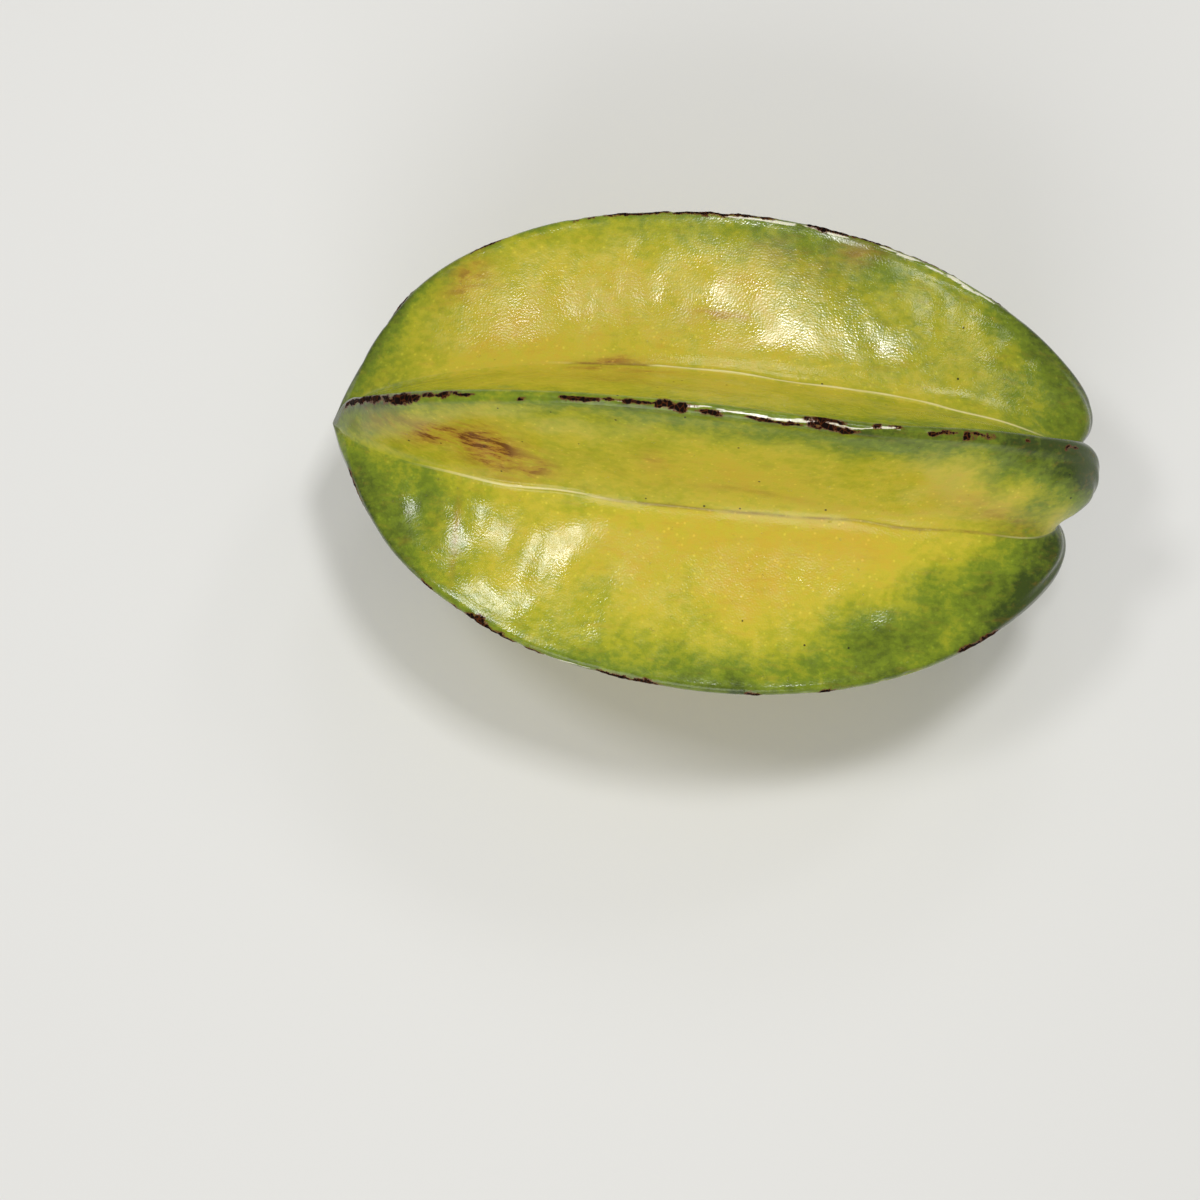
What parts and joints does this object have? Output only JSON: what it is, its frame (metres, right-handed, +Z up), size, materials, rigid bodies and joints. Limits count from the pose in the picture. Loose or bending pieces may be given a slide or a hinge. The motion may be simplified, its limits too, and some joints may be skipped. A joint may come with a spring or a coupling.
{
  "type": "star fruit",
  "caption": "Whole ripe star fruit with tall thin-edged ribs, lobed at the stem end, lying on its side on its lower ribs.",
  "frame": {"origin": "on the surface that the fruit lies on, under the middle of its bounding box", "axes": "+X along the fruit from the apex to the stem end, +Y across it, +Z up"},
  "size_m": [0.1094, 0.0686, 0.0648],
  "materials": {
    "skin": "thin waxy semi-gloss skin, yellow in the middle of the faces and green at the edges and ends, with dark corky scars on the rib edges"
  },
  "bodies": {
    "root": {"fruit": "skin"}
  },
  "joints": []
}
